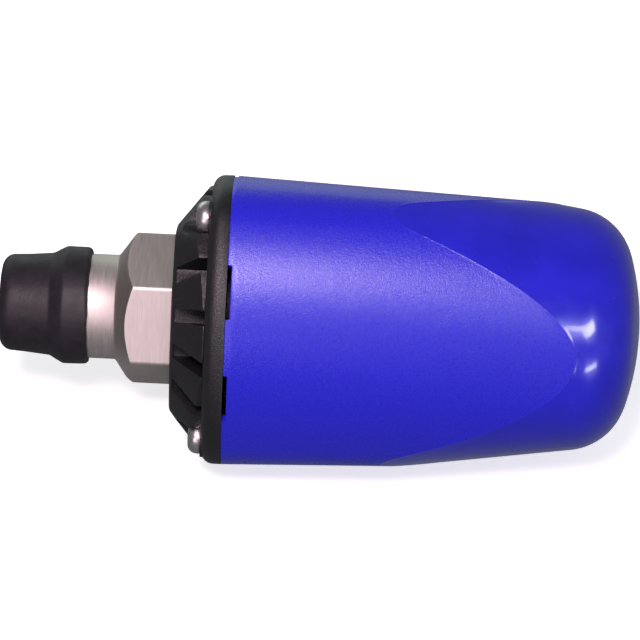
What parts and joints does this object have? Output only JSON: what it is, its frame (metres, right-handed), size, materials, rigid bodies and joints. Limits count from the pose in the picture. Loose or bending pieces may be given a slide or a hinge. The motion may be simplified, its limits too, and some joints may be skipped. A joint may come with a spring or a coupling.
{
  "type": "pneumatic muffler",
  "caption": "Large screw-in exhaust muffler: capped male thread, hexagon, ribbed collar with exhaust windows, and a tapered bell with a rounded end.",
  "frame": {"origin": "centre of the sealing shoulder, at the root of the male thread", "axes": "-X out along the thread, +X along the axis to the rounded end; +Z through one lobe of the rounded-triangle body, with a flat side facing -Z"},
  "size_m": [0.2357, 0.1056, 0.1067],
  "materials": {
    "cap_vinyl": "dip-moulded vinyl, satin",
    "fitting_steel": "turned and lightly brushed",
    "seal_rubber": "smooth",
    "collar_nylon": "glass-filled, fine grain",
    "screw_steel": "bright plated",
    "insert_brass": "knurled",
    "bell_blue": "gloss, with three finely textured matte faces",
    "sheet_steel": "rolled sheet",
    "turned_aluminium": "turned",
    "felt": "needled felt",
    "foam": "open-cell foam"
  },
  "bodies": {
    "muffler": {"fitting": "fitting_steel", "port_seal": "seal_rubber", "collar_seal": "seal_rubber", "collar": "collar_nylon", "lock_washer": "sheet_steel", "lock_nut": "fitting_steel", "screw_1": "screw_steel", "screw_2": "screw_steel", "screw_3": "screw_steel", "insert_1": "insert_brass", "insert_2": "insert_brass", "insert_3": "insert_brass", "bell": "bell_blue", "exhaust_screen": "sheet_steel", "front_ring": "turned_aluminium", "diffuser_tube": "sheet_steel", "diffuser_plug": "turned_aluminium", "baffle_sleeve": "sheet_steel", "inner_absorber": "felt", "outer_absorber": "foam", "clamp_front": "screw_steel", "clamp_rear": "screw_steel", "rear_plate": "sheet_steel", "end_nut": "screw_steel", "end_pad": "foam"},
    "cap": {"thread_cap": "cap_vinyl"}
  },
  "joints": [
    {"name": "cap_pull", "type": "slide", "parent": "muffler", "child": "cap", "axis": [-1, 0, 0], "range_m": [0, 0.06]}
  ]
}
